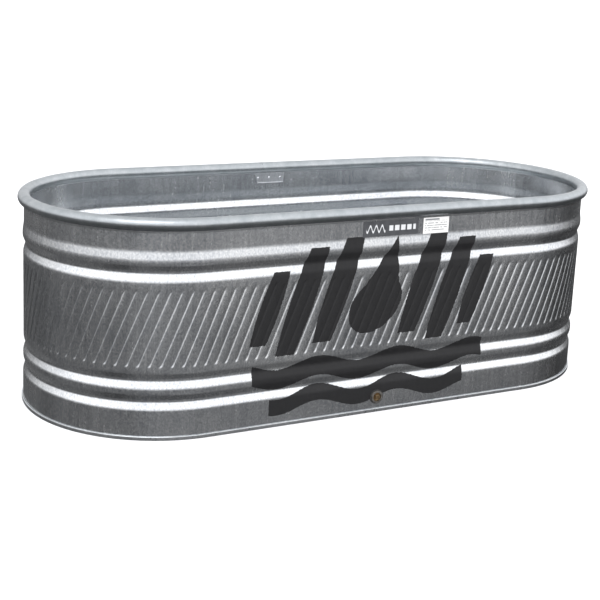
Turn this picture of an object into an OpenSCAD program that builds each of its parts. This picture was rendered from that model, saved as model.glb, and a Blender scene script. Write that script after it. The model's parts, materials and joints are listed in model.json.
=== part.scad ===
// Oval stock tank in galvanised sheet: a beaded and fluted wall, a pan bottom
// joined to it by a double lock seam, a tubular rim and a screw-in drain plug.
// Origin: middle of the tank, on the ground. +X runs along the tank, +Z is up,
// and the drain and the labels are on the -Y side.

/* [Tank] */
// Outside length of the wall, at the plain band under the rim
tank_length = 1829; // [1700:1:1900]
// Outside width of the wall, at the plain band under the rim
tank_width = 762; // [720:1:800]
// Height from the ground to the top of the rim
tank_height = 610; // [605:1:630]
// Thickness of the galvanised sheet
sheet_t = 0.9; // [0.8:0.1:1]

/* [Wall beads] */
// How far the plain base band stands out from the top band
base_out = 3.5; // [3:0.1:4]
// How far the ridge between the two lower grooves stands out
ridge_out = 3; // [2:0.1:4]
// How far the fluted middle of the wall stands out
field_out = 2; // [1:0.1:3]
// How far the shoulder under the top band stands out
shoulder_out = 3.5; // [2:0.1:4]
// How far each groove is pressed in
groove_in = 4; // [3:0.1:5]
// Height of the top of the base band
base_band_z = 85; // [82:1:88]
// Height of the lower groove
low_groove_z = 106; // [104:1:108]
// Height of the upper edge of the ridge
ridge_top_z = 144; // [142:1:148]
// Height of the middle groove
mid_groove_z = 165; // [163:1:168]
// Height of the upper edge of the fluted field
field_top_z = 438; // [430:1:440]
// Height of the top groove
top_groove_z = 461; // [458:1:464]
// Height of the upper edge of the shoulder
shoulder_top_z = 496; // [492:1:500]
// Height of the lower edge of the plain band under the rim
top_band_z = 520; // [516:1:524]

/* [Rim] */
// Outside diameter of the rim pipe
pipe_d = 32.7; // [30:0.1:34]
// Wall thickness of the rim pipe
pipe_wall = 1.5; // [1.2:0.1:2]
// Place along the back where the rim's and the wall's ends meet
joint_x = -20; // [-60:1:60]
// Gap between the rim's two ends
joint_gap = 1.6; // [1:0.1:3]
// Overlap of the wall's two ends
lap_width = 28; // [20:1:40]
// Length of the sleeve inside the rim joint
sleeve_length = 120; // [80:1:160]

/* [Drain] */
// Height of the drain above the ground
drain_z = 46; // [44:1:50]
// Thread diameter of the drain plug
plug_d = 26.4; // [26:0.1:27]
// Outside diameter of the coupling's barrel
barrel_d = 31; // [30:0.1:32]

/* [Hidden] */
$fn = 96;
// How far a cut runs past what it cuts, and how far joined pieces overlap
cut = 1;

// Plan of the wall: two half circles joined by straight sides
end_r = tank_width / 2;
half_straight = tank_length / 2 - end_r;

// Rim: the wall's top edge is rolled round the pipe, with a slip fit
roll_fit = 0.4;
roll_r = pipe_d / 2 + roll_fit + sheet_t;
rim_z = tank_height - roll_r;
hem_height = 6;
hem_width = 1.5 * sheet_t;
sleeve_fit = 0.05;
roll_root_z = rim_z - pipe_d / 2 - roll_fit - sheet_t / 2;
hem_z = rim_z - roll_r - hem_height / 2;

// Bottom lock seam, from the inside out: pan wall, wall, hook, hook, pan edge
floor_z = 12;
seam_height = 10.5;
hook_out = 3;
hook_top_z = 8;
cover_in = 0.6;
cover_bottom_z = 3.2;
seam_r = base_out + hook_out;

// Lap of the wall's ends: the outer end steps out over the inner one
sealant_t = 0.5;
step_out = sheet_t + sealant_t;
step_length = 1.5;
lap_clear = 0.2;
lap_bottom_z = floor_z + 4;
lap_top_z = hem_z - 3;
sealant_top_z = 540;
sealant_margin = [3, 1];

// Wall section as [how far out, height], from the ground up
bead_run = 19;
groove_flat = 3;
section_reach = 60;
function wall_line() = [
    [base_out, sheet_t], [base_out, base_band_z],
    [-groove_in, low_groove_z], [-groove_in, low_groove_z + groove_flat],
    [ridge_out, low_groove_z + groove_flat + bead_run], [ridge_out, ridge_top_z],
    [-groove_in, mid_groove_z], [-groove_in, mid_groove_z + groove_flat],
    [field_out, mid_groove_z + groove_flat + bead_run], [field_out, field_top_z],
    [-groove_in, top_groove_z], [-groove_in, top_groove_z + groove_flat],
    [shoulder_out, top_groove_z + groove_flat + bead_run], [shoulder_out, shoulder_top_z],
    [0, top_band_z], [0, roll_root_z]
];

// Drain: distances along its axis are measured out from the base band
drain_face_y = -(end_r + base_out);
gasket_t = 2;
inner_gasket_t = 1.5;
gasket_d = 43;
flange_d = 36;
flange_t = 4;
lip_r = 1.2;
barrel_in = 20;
barrel_fit = 0.1;
bore_fit = 0.05;
seat_depth = 9;
seat_bore_d = 19;
seal_t = 2;
seal_hole_d = 15;
plug_face = 3.5;
thread_pitch = 1.814;
thread_turns = 6;
thread_depth = 1.1;
first_groove = 1.6;
groove_half = 0.45 * thread_pitch;
plug_head = 12.7;
plug_head_out = 8;
nut_across_flats = 41.3;
nut_t = 7;
hole_fit = 0.3;
wall_back = -sheet_t;

// Rim clip on the inside of the wall, under the joint
clip_t = 1.2;
clip_left = 22;
clip_right = 88;
clip_slant = 11;
clip_right_slant = 3;
clip_bottom_z = 541;
clip_top_z = 573;
clip_hem_r = 1.6;
rivet_d = 4.8;
rivet_fit = 0.05;
rivet_head_d = 9;
rivet_head_t = 1.8;
rivet_crown_t = 1.5;
rivet_hole_reach = 10;
rivet_z = 557;
rivet_in_lap = -8;
rivets_right = [32, 74];

// Labels on the plain band under the rim
label_t = 0.25;
name_label_x = [-75, 110];
name_label_z = [523.5, 568.5];
info_label_x = [127, 215];
info_label_z = [521.5, 569];

// ---- Shapes that repeat ----

// A section drawn as [how far out, height], carried round one end of the tank
module sweep_end(side) {
    translate([side * half_straight, 0, 0])
        rotate([0, 0, -90 * side])
            rotate_extrude(angle = 180)
                translate([end_r, 0])
                    children();
}

// The same section along a straight side; side is -1 for the front, 1 for the back
module sweep_side(side, x0, x1) {
    mirror([0, side < 0 ? 1 : 0, 0])
        translate([x0, 0, 0])
            rotate([90, 0, 90])
                linear_extrude(height = x1 - x0)
                    translate([end_r, 0])
                        children();
}

// The section all the way round, with a gap of the given width at the back joint
module sweep_round(gap = 0) {
    sweep_end(-1) children();
    sweep_end(1) children();
    sweep_side(-1, -half_straight, half_straight) children();
    sweep_side(1, -half_straight, joint_x - gap / 2) children();
    sweep_side(1, joint_x + gap / 2, half_straight) children();
}

// Wall section of any thickness whose outer face is moved out by out
module wall_section(out, thick) {
    line = wall_line();
    polygon(concat(
        [for (p = line) [p[0] + out, p[1]]],
        [for (i = [len(line) - 1 : -1 : 0]) [line[i][0] + out - thick, line[i][1]]]));
}

// What of a section lies between two heights
module between(z0, z1) {
    intersection() {
        children();
        translate([-section_reach, z0])
            square([2 * section_reach, z1 - z0]);
    }
}

// The wall's roll round the rim pipe, and the hem that ends it outside
module roll_section() {
    translate([-sheet_t / 2, rim_z])
        difference() {
            circle(r = roll_r);
            circle(r = roll_r - sheet_t);
        }
    translate([-sheet_t / 2, hem_z])
        square([hem_width, hem_height / 2 + cut]);
}

// The hook under the wall that the bottom pan folds over
module wall_hook_section() {
    translate([base_out - sheet_t, sheet_t])
        square([hook_out + sheet_t, sheet_t]);
    translate([seam_r - sheet_t, sheet_t])
        square([sheet_t, hook_top_z - sheet_t]);
}

module whole_wall_section() {
    wall_section(0, sheet_t);
    roll_section();
    wall_hook_section();
}

// A round bar along the drain's axis, from one distance out to another
module drain_round(d, from, to) {
    translate([0, drain_face_y - from, drain_z])
        rotate([90, 0, 0])
            cylinder(d = d, h = to - from);
}

module drain_ring(d_out, d_in, from, to) {
    difference() {
        drain_round(d_out, from, to);
        drain_round(d_in, from - cut, to + cut);
    }
}

// Moves a shape to where a rivet's outer head sits: x from the joint, and how far out
module at_rivet(x, out) {
    translate([joint_x + x, end_r + out, rivet_z])
        rotate([-90, 0, 0])
            children();
}

module rivet_holes() {
    for (x = concat([rivet_in_lap], rivets_right))
        at_rivet(x, -rivet_hole_reach)
            cylinder(d = rivet_d + 2 * rivet_fit, h = 2 * rivet_hole_reach);
}

// ---- Wall ----

module wall_sheet() color("#8f9498") {
    difference() {
        union() {
            sweep_end(-1) whole_wall_section();
            sweep_end(1) whole_wall_section();
            sweep_side(-1, -half_straight, half_straight) whole_wall_section();
            sweep_side(1, -half_straight, joint_x - joint_gap / 2) whole_wall_section();
            sweep_side(1, joint_x + lap_width / 2 + step_length, half_straight)
                whole_wall_section();
            inner_lap();
            outer_lap();
        }
        drain_round(barrel_d + 2 * hole_fit, -barrel_in, barrel_in);
        rivet_holes();
    }
}

// The end that lies inside, straight on from the left-hand sheet
module inner_lap() {
    sweep_side(1, joint_x - joint_gap / 2 - cut, joint_x + lap_width / 2)
        between(lap_bottom_z + lap_clear, lap_top_z - lap_clear)
            wall_section(0, sheet_t);
}

// The end that steps out over it, and the flat corners above and below the lap
module outer_lap() {
    right = joint_x + lap_width / 2 + step_length;
    sweep_side(1, joint_x - lap_width / 2, right)
        between(lap_bottom_z, lap_top_z)
            wall_section(step_out, sheet_t);
    sweep_side(1, joint_x + lap_width / 2 + lap_clear, right)
        between(lap_bottom_z, lap_top_z)
            wall_section(step_out, sheet_t + step_out);
    sweep_side(1, joint_x + joint_gap / 2, right) {
        between(0, lap_bottom_z) whole_wall_section();
        between(lap_top_z, tank_height) whole_wall_section();
        between(lap_bottom_z - step_length, lap_bottom_z)
            wall_section(step_out, sheet_t + step_out);
        between(lap_top_z, lap_top_z + step_length)
            wall_section(step_out, sheet_t + step_out);
    }
}

module side_seam_sealant() color("#b9b6ac") {
    sweep_side(1, joint_x - lap_width / 2 + sealant_margin[0],
               joint_x + lap_width / 2 - sealant_margin[1])
        between(lap_bottom_z + sealant_margin[1], sealant_top_z)
            wall_section(sealant_t, sealant_t);
}

// ---- Bottom ----

module bottom_pan() color("#9aa0a4") {
    pan_r = base_out - 2 * sheet_t;
    translate([0, 0, floor_z])
        linear_extrude(height = sheet_t) {
            square([2 * half_straight, 2 * (end_r + pan_r)], center = true);
            for (side = [-1, 1])
                translate([side * half_straight, 0])
                    circle(r = end_r + pan_r);
        }
    sweep_round() {
        translate([pan_r, 0])
            square([sheet_t, floor_z + sheet_t]);
        translate([pan_r, 0])
            square([seam_r + sheet_t - pan_r, sheet_t]);
        translate([seam_r, 0])
            square([sheet_t, seam_height]);
        translate([base_out + cover_in, seam_height - sheet_t])
            square([seam_r + sheet_t - base_out - cover_in, sheet_t]);
        translate([base_out + cover_in, cover_bottom_z])
            square([sheet_t, seam_height - cover_bottom_z]);
    }
}

module bottom_seam_sealant() color("#b9b6ac") {
    inside = base_out;
    outside = seam_r - sheet_t;
    sweep_round()
        difference() {
            translate([inside, 2 * sheet_t])
                square([outside - inside, hook_top_z - 2 * sheet_t]);
            translate([inside + cover_in, cover_bottom_z])
                square([sheet_t, seam_height]);
        }
}

// ---- Rim ----

module rim_pipe() color("#a8adb0") {
    sweep_round(joint_gap)
        translate([-sheet_t / 2, rim_z])
            difference() {
                circle(d = pipe_d);
                circle(d = pipe_d - 2 * pipe_wall);
            }
}

module rim_sleeve() color("#a8adb0") {
    sleeve_d = pipe_d - 2 * pipe_wall - 2 * sleeve_fit;
    translate([joint_x - sleeve_length / 2, end_r - sheet_t / 2, rim_z])
        rotate([0, 90, 0])
            difference() {
                cylinder(d = sleeve_d, h = sleeve_length);
                translate([0, 0, -cut])
                    cylinder(d = sleeve_d - 2 * pipe_wall, h = sleeve_length + 2 * cut);
            }
}

module rim_clip() color("#a8adb0") {
    inner_face = end_r - sheet_t;
    difference() {
        union() {
            translate([joint_x, inner_face, 0])
                rotate([90, 0, 0])
                    linear_extrude(height = clip_t)
                        polygon([[-clip_left, clip_top_z], [clip_slant - clip_left, clip_bottom_z],
                                 [clip_right - clip_right_slant, clip_bottom_z], [clip_right, clip_top_z]]);
            translate([joint_x + clip_slant - clip_left, inner_face - clip_hem_r, clip_bottom_z])
                rotate([0, 90, 0])
                    cylinder(r = clip_hem_r, h = clip_left + clip_right - clip_slant - clip_right_slant);
        }
        rivet_holes();
    }
}

// One rivet with its outer head at zero and its inner head on the clip
module rivet(grip) {
    cap = [[0, rivet_head_t], [rivet_head_d / 4, rivet_crown_t],
           [rivet_head_d / 2, 0], [0, 0]];
    rotate_extrude()
        polygon(cap);
    translate([0, 0, -grip])
        mirror([0, 0, 1])
            rotate_extrude()
                polygon(cap);
    translate([0, 0, -grip - rivet_crown_t / 2])
        cylinder(d = rivet_d, h = grip + rivet_crown_t);
}

module rim_clip_rivets() color("#b4b8bb") {
    at_rivet(rivet_in_lap, step_out)
        rivet(step_out + sheet_t + clip_t);
    for (x = rivets_right)
        at_rivet(x, 0)
            rivet(sheet_t + clip_t);
}

// ---- Drain ----

module drain_coupling() color("#a3a7a8") {
    difference() {
        union() {
            drain_round(barrel_d, -barrel_in, gasket_t + cut);
            drain_round(flange_d, gasket_t, gasket_t + flange_t - lip_r);
            drain_round(flange_d - 2 * lip_r, gasket_t, gasket_t + flange_t);
        }
        drain_round(plug_d + 2 * bore_fit, -seat_depth, gasket_t + flange_t + cut);
        drain_round(seat_bore_d, -barrel_in - cut, 0);
    }
}

module drain_gasket_outer() color("#26282a") {
    drain_ring(gasket_d, barrel_d + 2 * barrel_fit, 0, gasket_t);
}

module drain_gasket_inner() color("#26282a") {
    drain_ring(gasket_d, barrel_d + 2 * barrel_fit, wall_back - inner_gasket_t, wall_back);
}

module drain_locknut() color("#a3a7a8") {
    top = wall_back - inner_gasket_t;
    difference() {
        translate([0, drain_face_y - top, drain_z])
            rotate([-90, 30, 0])
                cylinder(d = nut_across_flats / cos(30), h = nut_t, $fn = 6);
        drain_round(barrel_d + 2 * barrel_fit, top - nut_t - cut, top + cut);
    }
}

// The plug's thread is drawn as rings, one for each turn
module drain_plug() color("#a98b4c") {
    from = seal_t - seat_depth;
    difference() {
        drain_round(plug_d, from, plug_face);
        for (turn = [0 : thread_turns - 2])
            translate([0, drain_face_y - from - first_groove - turn * thread_pitch, drain_z])
                rotate([90, 0, 0])
                    rotate_extrude()
                        polygon([[plug_d / 2 + barrel_fit, -groove_half],
                                 [plug_d / 2 + barrel_fit, groove_half],
                                 [plug_d / 2 - thread_depth, 0]]);
    }
    translate([-plug_head / 2, drain_face_y - plug_head_out, drain_z - plug_head / 2])
        cube([plug_head, plug_head_out - plug_face + cut, plug_head]);
}

module plug_seal() color("#1e1f20") {
    drain_ring(plug_d, seal_hole_d, -seat_depth, seal_t - seat_depth);
}

// ---- Labels ----

module label(x, z) {
    translate([x[0], -end_r - label_t, z[0]])
        cube([x[1] - x[0], label_t, z[1] - z[0]]);
}

module name_label() color("#4a4d50") {
    label(name_label_x, name_label_z);
}

module info_label() color("white") {
    label(info_label_x, info_label_z);
}

wall_sheet();
side_seam_sealant();
bottom_pan();
bottom_seam_sealant();
rim_pipe();
rim_sleeve();
rim_clip();
rim_clip_rivets();
drain_coupling();
drain_locknut();
drain_gasket_outer();
drain_gasket_inner();
drain_plug();
plug_seal();
name_label();
info_label();
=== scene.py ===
# %% [markdown]
# # An oval stock tank in galvanised sheet
#
# The real object is a drinking trough for cattle, sheep and pigs. One long strip of zinc-coated
# steel is rolled with beads and slanted flutes, bent into an oval, and closed by a seam at the back.
# Its top edge is rolled round a pipe, a pan is folded onto its bottom edge, and a screwed plug
# drains it. This lesson loads the solid model as a fixed frame and builds the looks around it.

# %% Load the solid model
import json
import math

import bmesh
import bpy
from mathutils import Matrix, Vector

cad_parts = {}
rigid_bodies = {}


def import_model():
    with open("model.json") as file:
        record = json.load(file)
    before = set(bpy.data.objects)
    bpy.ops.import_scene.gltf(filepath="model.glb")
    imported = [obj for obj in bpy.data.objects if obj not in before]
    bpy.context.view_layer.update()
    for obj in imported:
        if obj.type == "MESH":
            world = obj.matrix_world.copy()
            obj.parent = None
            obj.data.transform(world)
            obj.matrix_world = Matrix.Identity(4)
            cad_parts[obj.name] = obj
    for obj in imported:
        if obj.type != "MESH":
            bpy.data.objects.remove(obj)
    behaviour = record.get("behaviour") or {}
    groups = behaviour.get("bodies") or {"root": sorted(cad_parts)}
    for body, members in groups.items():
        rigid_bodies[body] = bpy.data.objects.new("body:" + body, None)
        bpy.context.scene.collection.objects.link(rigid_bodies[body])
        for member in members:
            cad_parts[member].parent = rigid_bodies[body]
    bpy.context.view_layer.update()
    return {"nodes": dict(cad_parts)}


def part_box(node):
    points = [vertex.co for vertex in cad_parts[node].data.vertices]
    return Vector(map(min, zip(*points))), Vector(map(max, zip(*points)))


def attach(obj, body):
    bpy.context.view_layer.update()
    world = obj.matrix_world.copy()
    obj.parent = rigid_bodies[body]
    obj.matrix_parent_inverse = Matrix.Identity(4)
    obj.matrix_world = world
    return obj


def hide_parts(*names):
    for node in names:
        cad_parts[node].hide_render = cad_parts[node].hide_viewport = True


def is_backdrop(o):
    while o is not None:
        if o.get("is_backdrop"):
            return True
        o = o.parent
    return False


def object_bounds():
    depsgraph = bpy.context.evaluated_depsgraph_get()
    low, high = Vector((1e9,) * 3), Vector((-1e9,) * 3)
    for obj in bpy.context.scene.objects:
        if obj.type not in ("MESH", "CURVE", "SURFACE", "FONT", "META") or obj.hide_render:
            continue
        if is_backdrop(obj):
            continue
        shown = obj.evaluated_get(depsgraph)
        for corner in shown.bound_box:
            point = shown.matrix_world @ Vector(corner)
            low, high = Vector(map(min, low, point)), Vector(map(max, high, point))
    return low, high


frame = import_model()

# %% [markdown]
# ## The oval that everything follows
#
# Seen from above, the wall is two half circles joined by straight sides. A place on it is given by
# the distance walked along the wall from the back joint, how far out it stands, and its height.
# Working in those three numbers is how the sheet is made: flat first, then bent round the oval.

# %% The oval
MM = 0.001
END_R = 381 * MM
HALF_STRAIGHT = 533.5 * MM
JOINT_X = -20 * MM
ARC = math.pi * END_R
BACK_LEFT = HALF_STRAIGHT + JOINT_X
FRONT_START = BACK_LEFT + ARC
FRONT_MIDDLE = FRONT_START + HALF_STRAIGHT
RIGHT_ARC = FRONT_START + 2 * HALF_STRAIGHT
BACK_RIGHT = RIGHT_ARC + ARC
WALK = BACK_RIGHT + HALF_STRAIGHT - JOINT_X


def on_oval(walk, out, z):
    """The point that is so far along the wall, so far out from it, and so high."""
    r = END_R + out
    if walk < BACK_LEFT:
        return Vector((JOINT_X - walk, r, z))
    if walk < FRONT_START:
        turn = (walk - BACK_LEFT) / END_R
        return Vector((-HALF_STRAIGHT - r * math.sin(turn), r * math.cos(turn), z))
    if walk < RIGHT_ARC:
        return Vector((walk - FRONT_MIDDLE, -r, z))
    if walk < BACK_RIGHT:
        turn = (walk - RIGHT_ARC) / END_R
        return Vector((HALF_STRAIGHT + r * math.sin(turn), -r * math.cos(turn), z))
    return Vector((HALF_STRAIGHT - (walk - BACK_RIGHT), r, z))


print("once round the wall:", round(WALK, 4), "m")

# %% [markdown]
# ## A section with pressed corners
#
# A rolling mill can't fold a sharp corner into thick sheet, so every bead has a soft bend. The
# section is drawn as corners, each with the length of its bend, and each corner becomes three
# points on a short curve. Few points on a curve, and none on the flats, keep the mesh light.

# %% Soften a section's corners
def softened(corners):
    """corners: (out, z, bend) in mm. Returns the softened line as (out, z) in mm."""
    line = []
    for i, (out, z, bend) in enumerate(corners):
        here = Vector((out, z))
        if bend == 0 or i in (0, len(corners) - 1):
            line.append((out, z))
            continue
        before = Vector(corners[i - 1][:2]) - here
        after = Vector(corners[i + 1][:2]) - here
        a = here + before.normalized() * min(bend, before.length * 0.45)
        b = here + after.normalized() * min(bend, after.length * 0.45)
        middle = (a + 2 * here + b) / 4
        line += [tuple(a), tuple(middle), tuple(b)]
    return line


bend = softened([(0, 0, 0), (0, 20, 5), (20, 20, 0)])
print("a bend of 5 mm becomes", [(round(out, 2), round(z, 2)) for out, z in bend[1:-1]])

# %% [markdown]
# ## Rows of the wall
#
# From the ground up: the hook that the bottom pan folds over, the plain base band, two grooves
# with a ridge between them, the fluted field, a third groove, the shoulder, and the plain band
# under the rim. Above it the sheet curls inwards, right round the pipe, and ends in a hem that
# presses on the wall outside. Each row also says how deep the flutes are pressed there, so that
# they start and end in rounded tips.

# %% Rows of the wall
# Sections are in mm, and become metres when the sheet is bent
SHEET = 0.9
ROLL_MID_OUT = -0.45
ROLL_MID_Z = 592.35
PIPE_SIDE_R = 16.75
LAP_LOW = 16.2
LAP_HIGH = 568.5

low_wall = softened([
    (5.6, 8, 0), (5.6, 1.8, 0.5), (3.5, 1.8, 0.5), (3.5, 15.6, 0), (3.5, 16.4, 0),
    (3.5, 24, 0), (3.5, 38, 0), (3.5, 54, 0), (3.5, 68, 0),
    (3.5, 85, 5), (-5, 107.5, 6), (3, 128, 4.5), (3, 144, 5), (-5, 166.5, 6),
    (2, 187, 5), (2, 202, 0)])
high_wall = softened([
    (2, 419, 0), (2, 438, 5), (-5, 462.5, 6), (3.5, 483, 4), (3.5, 496, 4.5),
    (0, 520, 5), (0, 545, 0), (0, 568.3, 0), (0, 568.9, 0), (0, 573.4, 0)])
flute_rows = [(206, 0.45), (210.5, 0.86), (217, 1), (250, 1), (283, 1), (316, 1), (349, 1),
              (382, 1), (404, 1), (410.5, 0.86), (415, 0.45)]

rows = [(out, z, 0) for out, z in low_wall]
rows += [(2, z, press) for z, press in flute_rows]
rows += [(out, z, 0) for out, z in high_wall]
rows.append((-0.5, 575.2, 0))
flat_rows = len(rows) - 1
CURL_START = 9
CURL_END = 352
CURL_STEPS = 17
for step in range(CURL_STEPS + 1):
    turn = math.radians(CURL_START + (CURL_END - CURL_START) * step / CURL_STEPS)
    out = ROLL_MID_OUT - PIPE_SIDE_R * math.sin(turn)
    rows.append((out, ROLL_MID_Z - PIPE_SIDE_R * math.cos(turn), 0))
rows += [(0.7, 575.2, 0), (0.08, 574, 0), (0.08, 568.8, 0)]
print(len(rows), "rows from the seam hook to the hem")

# %% [markdown]
# ## Columns of the wall
#
# Every flute takes four columns: its two edges, its bottom, and one halfway up its gentle side. One
# side is steep and the other gentle, so it catches the light as one thin line. The flutes lean,
# so the columns lean with them and a flute needs no more points than its section has.
# Towards the back joint the lean fades to nothing, because the strip's ends are cut square.

# %% Columns of the wall
PITCH = 30.36 * MM
FIRST_FLUTE = -509 * MM
FLUTE_EDGE = 6.4 * MM
# The columns of one flute: how far from its middle, and how deep, in mm
FLUTE = [(-4.6, 0), (-0.9, 2.8), (2.9, 1.3), (6.4, 0)]
PLAIN_END = 80 * MM
SQUARE_END = 20 * MM
# How far the flutes lean for each mm of height, and the heights in mm between which they do
LEAN = 0.40
LEAN_LOW = 202
LEAN_MID = 300
LEAN_HIGH = 419
END_GAP = 0.8 * MM
LAP_REACH = 14 * MM

# Each column: distance along the wall, depth of press, distance along the wall inside the lap
columns = [(END_GAP, 0, -LAP_REACH)]
columns += [(walk * MM, 0, walk * MM) for walk in (10, 20, 34, 48, 62)]
number = math.ceil((PLAIN_END + FLUTE_EDGE - FRONT_MIDDLE - FIRST_FLUTE) / PITCH)
flutes = 0
while FRONT_MIDDLE + FIRST_FLUTE + number * PITCH < WALK - PLAIN_END - FLUTE_EDGE:
    middle = FRONT_MIDDLE + FIRST_FLUTE + number * PITCH
    for offset, depth in FLUTE:
        columns.append((middle + offset * MM, depth, middle + offset * MM))
    number += 1
    flutes += 1
# The step out into the lap falls between 17.2 and 14.2 mm before the joint
for left in (62, 48, 34, 20, 17.2, 14.2, 7):
    columns.append((WALK - left * MM, 0, WALK - left * MM))
columns.append((WALK - END_GAP, 0, WALK + LAP_REACH))
LAP_STARTS = WALK - 14.3 * MM
print(flutes, "flutes,", len(columns), "columns")

# %% [markdown]
# ## Bending the flat grid into the wall
#
# A flat grid stands for the blank sheet. Each of its points is moved to where the press and the
# bending rolls would take it, and a Solidify modifier then gives the sheet its thickness. In the
# lap at the back, the right-hand end steps out by a little more than its own thickness, to leave
# room for the sealant, and lies over the left one.

# %% A strip of sheet bent round the oval
def strip(column_count, row_count, place):
    """A grid whose point in column i and row j goes to place(i, j)."""
    bm = bmesh.new()
    bmesh.ops.create_grid(bm, x_segments=column_count - 1, y_segments=row_count - 1, size=0.5)
    for v in bm.verts:
        i = round((v.co.x + 0.5) * (column_count - 1))
        j = round((v.co.y + 0.5) * (row_count - 1))
        v.co = place(i, j)
    assert len(bm.verts) == column_count * row_count
    return bm


STEP_OUT = 1.4 * MM


def wall_place(i, j):
    walk, depth, lap_walk = columns[i]
    out, z, press = rows[j]
    out = (out - depth * press) * MM
    if LAP_LOW < z < LAP_HIGH and j < flat_rows:
        walk = lap_walk
        if walk > LAP_STARTS:
            out += STEP_OUT
    from_end = min(walk, WALK - walk)
    leaning = min(1, max(0, (from_end - SQUARE_END) / (PLAIN_END - SQUARE_END)))
    lean = LEAN * (min(max(z, LEAN_LOW), LEAN_HIGH) - LEAN_MID) * MM
    return on_oval(walk + lean * leaning, out, z * MM)


wall_bm = strip(len(columns), len(rows), wall_place)
print("wall grid:", len(wall_bm.faces), "faces")

# %% [markdown]
# ## Fewer points where the wall has no flutes
#
# The band under the rim and the rim itself need only half as many columns. Dissolving every second
# upright edge there, with its points, leaves one closed mesh with no cracks.

# %% Halve the columns of the rim
PLAIN_FROM = 545

bm = wall_bm
bm.verts.ensure_lookup_table()
row_of = {}
column_of = {}
for v in bm.verts:
    row_of[v] = v.index // len(columns)
    column_of[v] = v.index % len(columns)
first_rim_row = next(j for j, row in enumerate(rows) if row[1] >= PLAIN_FROM)
spare = [e for e in bm.edges
         if column_of[e.verts[0]] == column_of[e.verts[1]]
         and column_of[e.verts[0]] % 2 == 1
         and column_of[e.verts[0]] < len(columns) - 1
         and min(row_of[v] for v in e.verts) >= first_rim_row]
bmesh.ops.dissolve_edges(bm, edges=spare, use_verts=True)
print("after dissolving:", len(bm.faces), "faces")

# %% [markdown]
# ## The hole for the drain
#
# The drain stands in the plain base band, where the sheet is flat. The faces round it are taken
# out, and the square opening is bridged to a circle of as many points, as a punch would leave it.

# %% Punch the drain hole
BASE_Y = -(END_R + 3.5 * MM)
DRAIN_Z = 46 * MM
HOLE_R = 15.8 * MM
WINDOW_HALF = 24 * MM
WINDOW_LOW = 24 * MM
WINDOW_HIGH = 68 * MM


def near_drain(face):
    middle = face.calc_center_median()
    if abs(middle.x) >= WINDOW_HALF or middle.y >= -END_R:
        return False
    return WINDOW_LOW < middle.z < WINDOW_HIGH


def face_points_in(face):
    face.normal_update()
    return face.normal.dot(wall_normal) < 0


window = [f for f in bm.faces if near_drain(f)]
window[0].normal_update()
wall_normal = window[0].normal.copy()
rim_edges = [e for e in bm.edges if sum(1 for f in e.link_faces if near_drain(f)) == 1]
bmesh.ops.delete(bm, geom=window, context="FACES")
rim_edges = [e for e in rim_edges if e.is_valid]
circle = bmesh.ops.create_circle(bm, segments=len(rim_edges), radius=HOLE_R)["verts"]
bmesh.ops.rotate(bm, verts=circle, cent=(0, 0, 0), matrix=Matrix.Rotation(math.pi / 2, 3, "X"))
bmesh.ops.translate(bm, verts=circle, vec=(0, BASE_Y, DRAIN_Z))
circle_edges = [e for v in circle for e in v.link_edges if e.verts[0] == v]
bridge = bmesh.ops.bridge_loops(bm, edges=rim_edges + circle_edges)
turned_in = [f for f in bridge["faces"] if face_points_in(f)]
bmesh.ops.reverse_faces(bm, faces=turned_in)
print("drain window of", len(rim_edges), "edges,", len(bridge["faces"]), "faces bridged")

# %% [markdown]
# ## From mesh to object
#
# One helper turns every finished bmesh into an object that rides on a body of the model. Its
# origin stays at the world's origin, so patterns on Object coordinates keep their place.

# %% Finish a piece
def finish_piece(bm, name, body, replaced, outward=None):
    """Makes the object, points its faces outwards, and hides the node of the solid model that it
    replaces.
    """
    if outward is not None:
        face, direction = outward(bm)
        face.normal_update()
        if face.normal.dot(direction) < 0:
            bmesh.ops.reverse_faces(bm, faces=bm.faces)
    for f in bm.faces:
        f.smooth = True
    mesh = bpy.data.meshes.new(name)
    bm.to_mesh(mesh)
    bm.free()
    piece = bpy.data.objects.new(name, mesh)
    bpy.context.scene.collection.objects.link(piece)
    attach(piece, body)
    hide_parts(replaced)
    print(name, len(mesh.polygons), "faces")
    return piece


def sheet_finish(piece, thickness):
    """Gives a sheet its thickness inwards, and normals that keep its flats flat."""
    solid = piece.modifiers.new("thickness", "SOLIDIFY")
    solid.thickness = thickness
    solid.offset = -1
    normals = piece.modifiers.new("flat flats", "WEIGHTED_NORMAL")
    normals.mode = "FACE_AREA"
    normals.weight = 50
    return piece


def front_face(bm):
    """A face of the plain base band, well away from the drain, and the way it must point."""
    place = Vector((300 * MM, BASE_Y, 60 * MM))
    face = min(bm.faces, key=lambda f: (f.calc_center_median() - place).length)
    return face, Vector((0, -1, 0))


wall = finish_piece(bm, "beaded_wall", "tank", "wall_sheet", front_face)
sheet_finish(wall, SHEET * MM)

# %% [markdown]
# ## The bottom pan
#
# The pan is a flat floor whose edge runs down inside the wall, turns out under it, and folds up
# over the wall's hook: a double lock seam, as on a tin can. Its section is bent round the same
# oval, its two ends are merged, and the floor is one face that fills the inner edge.

# %% Bottom pan
pan_rows = softened([
    (-6, 12.9, 0), (2.6, 12.9, 1.2), (2.6, 0.9, 0.5), (6.5, 0.9, 0.6),
    (6.5, 9.6, 0.6), (5.0, 9.6, 0.5), (5.0, 3.2, 0)])
ARC_STEPS = 72
turns = [BACK_LEFT + ARC * n / ARC_STEPS for n in range(ARC_STEPS + 1)]
turns += [RIGHT_ARC + ARC * n / ARC_STEPS for n in range(ARC_STEPS + 1)]
pan_walks = sorted([0, FRONT_MIDDLE, WALK] + turns)


def pan_place(i, j):
    out, z = pan_rows[j]
    return on_oval(pan_walks[i], out * MM, z * MM)


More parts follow.
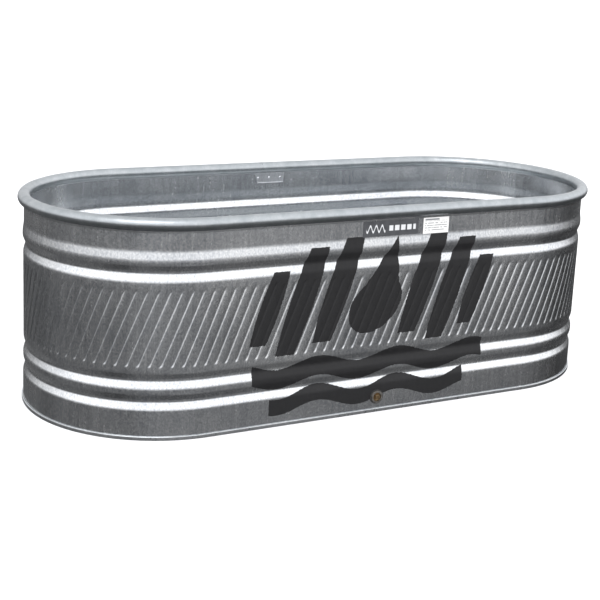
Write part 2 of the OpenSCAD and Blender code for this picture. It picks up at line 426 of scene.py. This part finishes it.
bm = strip(len(pan_walks), len(pan_rows), pan_place)
bmesh.ops.remove_doubles(bm, verts=bm.verts, dist=1e-6)
floor_edge = [e for e in bm.edges if e.is_boundary and e.verts[0].co.z > 12 * MM]
bmesh.ops.contextual_create(bm, geom=floor_edge)


def pan_floor(bm):
    face = max(bm.faces, key=lambda f: f.calc_area())
    return face, Vector((0, 0, 1))


bmesh.ops.recalc_face_normals(bm, faces=bm.faces)
pan = finish_piece(bm, "folded_pan", "tank", "bottom_pan", pan_floor)
sheet_finish(pan, SHEET * MM)

# %% [markdown]
# ## The drain plug
#
# The plug is a brass screw with a square head for a spanner. A lathe would turn its body from bar,
# and the spin operator does the same: half of the section is drawn as a line, and carried once
# round the axis. Its thread and its head are added to the same mesh afterwards.

# %% Turn the plug's body
PLUG_R = 13.2 * MM
THREAD_DEPTH = 1.1 * MM
THREAD_PITCH = 1.814 * MM
CORE_R = PLUG_R - THREAD_DEPTH
COLLAR_R = PLUG_R - 0.4 * MM
AXIS = (0, -1, 0)
ROUND_STEPS = 64
plug_low, plug_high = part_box("drain_plug")
plug_inner = plug_high.y
plug_face = BASE_Y - 3.5 * MM


def turned(bm, profile):
    """Spins a line of (radius, y) points once round the drain's axis."""
    line = [bm.verts.new((r, y, DRAIN_Z)) for r, y in profile]
    edges = [bm.edges.new(pair) for pair in zip(line, line[1:])]
    bmesh.ops.spin(bm, geom=line + edges, cent=(0, 0, DRAIN_Z), axis=AXIS, dvec=(0, 0, 0),
                   angle=2 * math.pi, steps=ROUND_STEPS, use_merge=True, use_duplicate=False)


bm = bmesh.new()
turned(bm, [(0, plug_inner), (CORE_R - 1 * MM, plug_inner), (CORE_R, plug_inner - 1 * MM),
            (CORE_R, plug_face + 1.8 * MM), (COLLAR_R, plug_face + 1.4 * MM),
            (COLLAR_R, plug_face + 0.5 * MM), (PLUG_R - 0.9 * MM, plug_face),
            (9.6 * MM, plug_face), (9.0 * MM, plug_face + 0.8 * MM), (0, plug_face + 0.8 * MM)])
bmesh.ops.remove_doubles(bm, verts=bm.verts, dist=1e-6)
bmesh.ops.recalc_face_normals(bm, faces=bm.faces)
print("turned body:", len(bm.faces), "faces")

# %% [markdown]
# ## The plug's thread
#
# A screw thread is a small section that moves along the axis while it goes round. The spin operator
# does both at once when it is given a step along the axis. The thread only shows when the plug is
# unscrewed, but then a reader can see at once which way it turns.

# %% Cut the thread
THREAD_TURNS = 4
STEPS_A_TURN = 48
ROOT_HALF = 0.75 * MM
CREST_HALF = 0.15 * MM
ROOT_R = CORE_R - 0.1 * MM

first_turn = plug_inner - 0.9 * MM
section = [(ROOT_R, first_turn + ROOT_HALF), (PLUG_R, first_turn + CREST_HALF),
           (PLUG_R, first_turn - CREST_HALF), (ROOT_R, first_turn - ROOT_HALF)]
thread = [bm.verts.new((r, y, DRAIN_Z)) for r, y in section]
start_face = bm.faces.new(thread)
bmesh.ops.spin(bm, geom=[start_face] + list(start_face.edges) + thread,
               cent=(0, 0, DRAIN_Z), axis=AXIS, dvec=(0, -THREAD_PITCH / STEPS_A_TURN, 0),
               angle=2 * math.pi * THREAD_TURNS, steps=STEPS_A_TURN * THREAD_TURNS,
               use_duplicate=False)
bmesh.ops.recalc_face_normals(bm, faces=bm.faces)
print("thread:", THREAD_TURNS, "turns")

# %% [markdown]
# ## The plug's head
#
# A forged square has rounded edges. A cube is scaled to the head's size, moved to its place and
# bevelled, and the finished plug rides on the body that turns.

# %% Forge the head
HEAD = 12.7 * MM
HEAD_ROOT = 2 * MM
HEAD_BEVEL = 0.9 * MM

head = bmesh.ops.create_cube(bm, size=1)["verts"]
head_out = plug_low.y
head_in = plug_face + HEAD_ROOT
bmesh.ops.scale(bm, verts=head, vec=(HEAD, head_in - head_out, HEAD))
bmesh.ops.translate(bm, verts=head, vec=(0, (head_in + head_out) / 2, DRAIN_Z))
head_edges = [e for v in head for e in v.link_edges if e.verts[0] == v]
bmesh.ops.bevel(bm, geom=head_edges, offset=HEAD_BEVEL, segments=2, profile=0.5, material=-1,
                affect="EDGES")
plug = finish_piece(bm, "threaded_plug", "plug", "drain_plug")
plug.modifiers.new("flat flats", "WEIGHTED_NORMAL")

# %% [markdown]
# ## Writing shader maths as Python
#
# A material is a graph of nodes. Wrapping a socket in a small class lets the sums be written as
# ordinary expressions: each operator adds one Math node. Every other node comes from one method,
# which sets the node's own settings first, and among them a ramp's stops, and then its sockets.

# %% A socket that can do sums
class Wire:
    """One output socket of a node tree."""

    def __init__(self, tree, socket):
        self.tree = tree
        self.socket = socket

    def node(self, kind, settings=None, inputs=None, output=0):
        made = self.tree.nodes.new(kind)
        for name, value in (settings or {}).items():
            if name == "stops":
                self.set_stops(made.color_ramp, value)
            else:
                setattr(made, name, value)
        for name, value in (inputs or {}).items():
            if isinstance(value, Wire):
                self.tree.links.new(value.socket, made.inputs[name])
            else:
                made.inputs[name].default_value = value
        return Wire(self.tree, made.outputs[output])

    def set_stops(self, ramp, stops):
        while len(ramp.elements) < len(stops):
            ramp.elements.new(0.5)
        for element, (position, colour) in zip(ramp.elements, stops):
            element.position = position
            element.color = colour

    def maths(self, operation, *others):
        """One Math node, with this value as its first input."""
        return self.node("ShaderNodeMath", {"operation": operation}, dict(enumerate((self, *others))))

    def __add__(self, other):
        return self.maths("ADD", other)

    def __sub__(self, other):
        return self.maths("SUBTRACT", other)

    def __mul__(self, other):
        return self.maths("MULTIPLY", other)

    def __truediv__(self, other):
        return self.maths("DIVIDE", other)

    def __rsub__(self, other):
        return self.node("ShaderNodeMath", {"operation": "SUBTRACT"}, {0: other, 1: self})

    __radd__ = __add__
    __rmul__ = __mul__

    def __abs__(self):
        return self.maths("ABSOLUTE")

    def least(self, other):
        return self.maths("MINIMUM", other)

    def most(self, other):
        return self.maths("MAXIMUM", other)

    def clamped(self):
        return self.node("ShaderNodeClamp", None, {0: self})

    def between(self, dark, light):
        """A colour mixed from two, with this value as the factor."""
        return self.node("ShaderNodeMix", {"data_type": "RGBA"}, {0: self, 6: dark, 7: light}, 2)

    def bump(self, strength, distance):
        """A normal that treats this value as a height."""
        return self.node("ShaderNodeBump", None, {
            "Height": self, "Strength": strength, "Distance": distance})

    def axes(self):
        return [self.node("ShaderNodeSeparateXYZ", None, {0: self}, n) for n in range(3)]

    def scaled(self, scale):
        return self.node("ShaderNodeMapping", None, {"Vector": self, "Scale": scale})

    def noise(self, scale, detail=2.0, roughness=0.5):
        return self.node("ShaderNodeTexNoise", None, {
            "Vector": self, "Scale": scale, "Detail": detail, "Roughness": roughness})

    def cells(self, scale):
        """A random value for each crystal of a cellular pattern."""
        colour = self.node("ShaderNodeTexVoronoi", None, {"Vector": self, "Scale": scale}, "Color")
        return self.node("ShaderNodeSeparateColor", None, {0: colour})


print("a socket now knows:", [name for name in vars(Wire) if not name.startswith("_")])

# %% [markdown]
# ## Starting a finish
#
# Every finish begins the same way: a new material, its Principled shader, and the Object
# coordinates that all its patterns read. Numbers that are the same all over go straight onto the
# shader's sockets, and whatever varies is linked to them afterwards.

# %% Start and feed a finish
def new_finish(name, **constants):
    """A material with its constants on the shader's own sockets, and its Object coordinates."""
    material = bpy.data.materials.new(name)
    material.use_nodes = True
    tree = material.node_tree
    shader = tree.nodes["Principled BSDF"]
    for socket, value in constants.items():
        shader.inputs[socket.replace("_", " ")].default_value = value
    place = tree.nodes.new("ShaderNodeTexCoord")
    return material, shader, Wire(tree, place.outputs["Object"])


def feed(shader, **wires):
    """Links each wire to the shader's socket of that name, and reports the finish."""
    for socket, wire in wires.items():
        wire.tree.links.new(wire.socket, shader.inputs[socket.replace("_", " ")])
    tree = shader.id_data
    print("finish:", len(tree.nodes), "nodes, varying", ", ".join(wires))


# %% [markdown]
# ## Hot-dip zinc
#
# Galvanised sheet is a real metal surface, so Metallic is 1 and the shade comes from what it
# mirrors. Four patterns break it up: crystals of zinc a few millimetres wide (the spangle), a fine
# grain, streaks that run up the wall from the dip, and broad clouds. They change the colour a
# little and the roughness less, and drive a shallow bump.

# %% Zinc finishes
WALL_DARK = (0.46, 0.485, 0.52, 1)
WALL_LIGHT = (0.90, 0.91, 0.905, 1)
WALL_ROUGH = 0.24
UPRIGHT = (115, 115, 8)


def zinc(name, dark, light, rough, streak, relief=0.13):
    """Streak is how often the streaks repeat in a metre along each axis."""
    material, shader, point = new_finish(name, Metallic=1.0)
    streaks = point.scaled(streak).noise(1.0, 4.0, 0.6) - 0.5
    grain = point.scaled((1, 1, 0.6)).noise(260.0, 2.0) - 0.5
    spangle = point.cells(170.0) - 0.5
    cloud = point.noise(4.0, 3.0, 0.55) - 0.5
    tone = (0.4 * streaks + 1.1 * grain + 0.16 * spangle + 1.0 * cloud + 0.5).clamped()
    colour = tone.between(dark, light)
    roughness = rough + 0.14 * streaks + 0.10 * cloud + 0.03 * spangle
    height = 0.55 * streaks + 0.7 * grain + 0.25 * spangle
    feed(shader, Base_Color=colour, Roughness=roughness, Normal=height.bump(relief, 0.4 * MM))
    return material, shader, point, colour, roughness


zinc_sheet = zinc("zinc_sheet", WALL_DARK, WALL_LIGHT, WALL_ROUGH, UPRIGHT)[0]
zinc_pan = zinc("zinc_pan", (0.46, 0.48, 0.50, 1), (0.80, 0.82, 0.83, 1), 0.30, (60, 60, 60))[0]
zinc_pipe = zinc("zinc_pipe", (0.50, 0.52, 0.55, 1), (0.84, 0.86, 0.88, 1), 0.32, (80, 80, 80))[0]
zinc_fitting = zinc("zinc_fitting", (0.20, 0.185, 0.17, 1), (0.48, 0.46, 0.43, 1), 0.40,
                    (300, 300, 300), 0.3)[0]

# %% [markdown]
# ## The stencilled mark
#
# The front carries a large mark in matt black. Here it is a plain design: a drop of water among
# slanted strokes, above two waves. Each shape is written as a distance that is positive inside
# it; the largest of them all, sharpened, is the mask, and a little noise wears its edge.

# %% The shapes of the mark
SLANT = 0.33
MARK_MIDDLE_Z = 0.3
# Each stroke: middle, half width, lowest and highest point, in metres
STROKES = [(-0.372, 0.032, 0.240, 0.445), (-0.276, 0.038, 0.205, 0.505),
           (-0.170, 0.038, 0.232, 0.526), (0.112, 0.038, 0.232, 0.526),
           (0.218, 0.038, 0.205, 0.505), (0.312, 0.032, 0.240, 0.445)]
DROP_X = -0.028
DROP_Z = 0.325
DROP_R = 0.082
DROP_TIP_Z = 0.522
DROP_TIP_FOOT_Z = 0.34
DROP_TAPER = 0.40
# Each wave: height, half width, left and right end, in metres
WAVES = [(0.150, 0.028, -0.405, 0.365), (0.070, 0.023, -0.350, 0.300)]
WAVE_RISE = 0.015
WAVE_TURN = 24

wall_zinc, shader, point, bare_colour, bare_rough = zinc(
    "painted_zinc_wall", WALL_DARK, WALL_LIGHT, WALL_ROUGH, UPRIGHT)
x, y, z = point.axes()
slanted = x - SLANT * (z - MARK_MIDDLE_Z)
shapes = []
for middle, half, low, high in STROKES:
    reach = (high - low) / 2
    rise = abs(z - (low + reach)) / reach
    side = half * (1 - 0.25 * rise * rise) - abs(slanted - middle)
    shapes.append(side.least(reach - reach * rise))
across = slanted - DROP_X
from_drop = across * across + (z - DROP_Z) * (z - DROP_Z)
shapes.append(DROP_R - from_drop.maths("SQRT"))
shapes.append((DROP_TAPER * (DROP_TIP_Z - z) - abs(across)).least(z - DROP_TIP_FOOT_Z))
for height, half, left, right in WAVES:
    swing = WAVE_RISE * (WAVE_TURN * x).maths("SINE")
    shapes.append((half - abs(z - height - swing)).least(x - left).least(right - x))
inside = shapes[0]
for shape in shapes[1:]:
    inside = inside.most(shape)
print("shapes in the mark:", len(shapes))

# %% [markdown]
# ## Paint on zinc
#
# The mask mixes colour, metallic and roughness, so that the paint lies on the zinc and follows the
# beads. The sheet is thinner than any pattern in space can tell apart, so the way a face points
# keeps the paint off the inside. The rolled rim is made darker and bluer in patches, and rougher.

# %% Paint the wall
EDGE = 1.2 * MM
WEAR = 6 * MM
FRONT_FROM_Y = -0.333
RIM_FROM_Z = 0.574

worn = inside + WEAR * (point.noise(190.0, 4.0, 0.65) - 0.5)
# The front wall's outer faces point along -y, and its inner faces along +y
facing = point.node("ShaderNodeNewGeometry", output="True Normal").axes()[1]
outside = (-8.0 * facing - 1.0).clamped()
at_front = (60.0 * (FRONT_FROM_Y - y)).clamped()
paint = (worn / EDGE + 0.5).clamped() * at_front * outside
on_rim = ((z - RIM_FROM_Z) * 400.0).clamped()
# The rolled rim's colour is darkened towards a blue grey, in noisy patches
darker_rim = (on_rim * (0.9 * point.noise(28.0, 5.0, 0.65) + 0.35)).clamped()
zinc_colour = darker_rim.between(bare_colour, (0.33, 0.36, 0.375, 1))
zinc_rough = bare_rough + on_rim * 0.12
dust = point.noise(60.0, 4.0, 0.6)
black = dust.between((0.002, 0.002, 0.003, 1), (0.011, 0.011, 0.012, 1))
feed(shader,
     Base_Color=(4.0 * paint).clamped().between(zinc_colour, black),
     Metallic=1 - paint,
     Roughness=zinc_rough + paint * (0.34 + 0.1 * dust))

# %% [markdown]
# ## Rubber, brass and sealant
#
# The small parts are not plain colours either. Brass that has stood in a yard is brown in its low
# places and bright where a spanner rubs; rubber is dull with a bloom of dust; sealant is grey,
# slightly waxy, and lumpy.

# %% Small finishes
brass, shader, point = new_finish("weathered_brass", Metallic=1.0)
stain = point.noise(90.0, 4.0, 0.6)
feed(shader,
     Base_Color=stain.between((0.10, 0.065, 0.04, 1), (0.44, 0.32, 0.18, 1)),
     Roughness=0.30 + 0.3 * stain,
     Normal=point.noise(900.0, 2.0).bump(0.15, 0.2 * MM))

rubber, shader, point = new_finish("black_rubber", IOR=1.5)
bloom = point.noise(140.0, 3.0, 0.6)
feed(shader,
     Base_Color=bloom.between((0.010, 0.010, 0.011, 1), (0.050, 0.048, 0.045, 1)),
     Roughness=0.55 + 0.25 * bloom,
     Normal=point.noise(700.0, 2.0).bump(0.2, 0.2 * MM))

sealant, shader, point = new_finish("grey_sealant", IOR=1.45)
lumps = point.noise(120.0, 3.0)
feed(shader,
     Base_Color=lumps.between((0.36, 0.35, 0.32, 1), (0.58, 0.56, 0.52, 1)),
     Roughness=0.45 + 0.2 * lumps,
     Normal=lumps.bump(0.4, 0.5 * MM))

# %% [markdown]
# ## The dark label
#
# Two thin stickers sit on the plain band. The wide one is dark, with a light wave and a row of
# blocks that say nothing. Places on it run from 0 to 1 across and up the sticker, so the design
# keeps to it whatever its size.

# %% Dark label
def on_label(node, point):
    """How far across and how far up the label a point is, each from 0 to 1."""
    low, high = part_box(node)
    x, y, z = point.axes()
    return (x - low.x) / (high.x - low.x), (z - low.z) / (high.z - low.z)


dark_label, shader, point = new_finish("dark_label", IOR=1.5)
across, up = on_label("name_label", point)
wave = 0.075 - abs(up - 0.5 - 0.2 * (60 * across).maths("SINE"))
wave = wave.least(across - 0.06).least(0.40 - across)
gaps = abs((across * 9.0).maths("FRACT") - 0.5)
block = (0.17 - abs(up - 0.5)).least(0.36 - gaps).least(across - 0.47).least(0.95 - across)
mark = (wave.most(block) / 0.012 + 0.5).clamped()
scuff = point.noise(70.0, 4.0, 0.6)
vinyl = scuff.between((0.030, 0.032, 0.036, 1), (0.085, 0.088, 0.095, 1))
feed(shader,
     Base_Color=mark.between(vinyl, (0.62, 0.63, 0.64, 1)),
     Roughness=0.28 + 0.25 * scuff)

# %% [markdown]
# ## The white label
#
# The narrow sticker is white, with one bar for a title and grey rules below it. A coarse noise
# breaks the rules into pieces as long as words, but nothing can be read.

# %% White label
white_label, shader, point = new_finish("white_label", IOR=1.5)
across, up = on_label("info_label", point)
rules = 0.16 - abs((up * 7.0).maths("FRACT") - 0.5)
words = point.scaled((160, 1, 150)).noise(1.0, 0.0) - 0.42
rules = rules.least(words * 2).least(across - 0.07).least(0.93 - across)
rules = rules.least(0.78 - up).least(up - 0.12)
title = (0.05 - abs(up - 0.87)).least(across - 0.07).least(0.62 - across)
ink = (rules.most(title) / 0.02 + 0.5).clamped()
soil = point.noise(50.0, 4.0, 0.6)
paper = soil.between((0.62, 0.62, 0.60, 1), (0.84, 0.84, 0.83, 1))
feed(shader,
     Base_Color=ink.between(paper, (0.20, 0.21, 0.22, 1)),
     Roughness=0.35 + 0.2 * soil)

# %% [markdown]
# ## Handing out the finishes
#
# Pieces of the solid model that already have the right shape stay, and only their material
# changes. Nodes that a new piece stands for get the same finish, so that no plain solid is left.

# %% Give every piece its finish
finishes = {
    zinc_pipe: ["rim_pipe", "rim_sleeve", "rim_clip", "rim_clip_rivets"],
    zinc_fitting: ["drain_coupling", "drain_locknut"],
    rubber: ["drain_gasket_outer", "drain_gasket_inner", "plug_seal"],
    sealant: ["side_seam_sealant", "bottom_seam_sealant"],
    dark_label: ["name_label"],
    white_label: ["info_label"],
    zinc_sheet: ["wall_sheet"],
    zinc_pan: ["bottom_pan"],
    brass: ["drain_plug"],
}
for finish, names in finishes.items():
    for name in names:
        mesh = frame["nodes"][name].data
        mesh.materials.clear()
        mesh.materials.append(finish)
wall.data.materials.append(wall_zinc)
pan.data.materials.append(zinc_pan)
plug.data.materials.append(brass)
print("nodes with a finish:", sum(len(names) for names in finishes.values()))

# %% [markdown]
# ## The floor
#
# The floor is plain and pale, and reaches past the horizon. It is left out of reflections, because
# the tank should mirror the dull ground that it stands on outdoors, and not a white studio.

# %% Studio floor
FLOOR_R = 60

bm = bmesh.new()
bmesh.ops.create_circle(bm, cap_ends=True, segments=64, radius=FLOOR_R)
mesh = bpy.data.meshes.new("studio_floor")
bm.to_mesh(mesh)
bm.free()
floor = bpy.data.objects.new("studio_floor", mesh)
bpy.context.scene.collection.objects.link(floor)
floor.visible_glossy = False
floor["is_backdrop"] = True
floor_finish, shader, point = new_finish("pale_floor", Roughness=0.9, Specular_IOR_Level=0.1)
feed(shader, Base_Color=point.noise(1.5, 2.0).between((0.86, 0.86, 0.86, 1), (0.90, 0.90, 0.90, 1)))
mesh.materials.append(floor_finish)

# %% [markdown]
# ## The surroundings
#
# Metal shows what is round it, so the surroundings matter as much as the material. They are a soft
# white sky above and dull ground below, lighter towards the horizon, dimmer behind the tank and to
# its right, and broken into soft patches that slide along the curved ends. The camera itself sees
# plain white beyond the floor.

# %% World
# Each stop: height, with 0 straight down and 1 straight up, and brightness there
SKY = [(0.00, 0.17), (0.12, 0.17), (0.22, 0.23), (0.30, 0.22), (0.37, 0.16), (0.42, 0.25),
       (0.455, 0.50), (0.48, 0.98), (0.50, 1.30), (0.62, 1.75), (1.00, 1.35)]
SKY_BLUE = 1.02

world = bpy.data.worlds.new("soft_sky")
bpy.context.scene.world = world
world.use_nodes = True
tree = world.node_tree
backdrop = tree.nodes["Background"]
direction = Wire(tree, tree.nodes.new("ShaderNodeTexCoord").outputs["Generated"])
to_right, to_back, upwards = direction.axes()
height = upwards * 0.5 + 0.5
stops = [(position, (level, level, level * SKY_BLUE, 1)) for position, level in SKY]
shade = height.node("ShaderNodeValToRGB", {"stops": stops}, {0: height})
# The ground fades towards the back, then gets its soft patches, then fades to the right
ground = (0.42 - 0.62 * to_back).most(0.56).least(1.0)
ground = (ground * (0.35 + 1.3 * direction.noise(2.6, 1.0))).least(1.3)
ground = ground * (1.0 - 1.1 * (to_right - 0.4).most(0.0))
sky = 1.0 - 0.42 * to_back.most(0.0)
# This is 0 well below the horizon and 1 just above it
above = (height * 12.0 - 5.4).clamped()
lit = shade.node("ShaderNodeMix", {"data_type": "RGBA", "blend_type": "MULTIPLY"},
                 {0: 1.0, 6: shade, 7: ground * (1.0 - above) + above * sky}, 2)
seen = lit.node("ShaderNodeLightPath", output="Is Camera Ray")
plain = seen.between(lit, (1, 1, 1, 1))
tree.links.new(plain.socket, backdrop.inputs["Color"])
backdrop.inputs["Strength"].default_value = 1.0
print("world:", len(SKY), "stops,", len(tree.nodes), "nodes")

# %% [markdown]
# ## The sun
#
# One wide, weak sun gives the floor a soft shadow, so that the tank stands on it. The plain
# Standard view keeps white things white.

# %% Sun
sun_data = bpy.data.lights.new("soft_sun", "SUN")
sun_data.energy = 0.8
sun_data.angle = math.radians(40)
sun = bpy.data.objects.new("soft_sun", sun_data)
bpy.context.scene.collection.objects.link(sun)
sun.rotation_euler = (math.radians(38), math.radians(12), math.radians(-50))
bpy.context.scene.view_settings.view_transform = "Standard"
print("sun:", round(sun_data.energy, 2), "W/m2,", round(math.degrees(sun_data.angle)), "degrees wide")

# %% [markdown]
# ## The camera
#
# The camera stands about four metres off, beyond the left end of the front and at the height of a
# person's chest, and looks slightly down. Its turn is built from three plain angles: how far round
# it looks, how far down, and how far it is tipped.

# %% Camera
LENS = 75.01
SHIFT = -0.1
STANDS_AT = (-1.8645, -3.2959, 1.2851)
ROUND = math.radians(-28.62)
DOWN = math.radians(12.80)
TIPPED = math.radians(2.63)

camera_data = bpy.data.cameras.new("camera")
camera = bpy.data.objects.new("camera", camera_data)
bpy.context.scene.collection.objects.link(camera)
camera_data.lens = LENS
camera_data.shift_y = SHIFT
camera_data.clip_end = 200
camera.rotation_mode = "QUATERNION"
camera.rotation_quaternion = (Matrix.Rotation(ROUND, 3, "Z")
                              @ Matrix.Rotation(math.pi / 2 - DOWN, 3, "X")
                              @ Matrix.Rotation(TIPPED, 3, "Z")).to_quaternion()
camera.location = STANDS_AT
bpy.context.scene.camera = camera
print("camera:", round(camera.location.length, 2), "m from the tank's middle")

# %% [markdown]
# ## The size of the looks
#
# The box round every piece of the looks, leaving out the floor and hidden parts, is measured
# and printed.

# %% Print the size of the looks
low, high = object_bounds()
print("looks:", [round(v, 4) for v in high - low], "m")
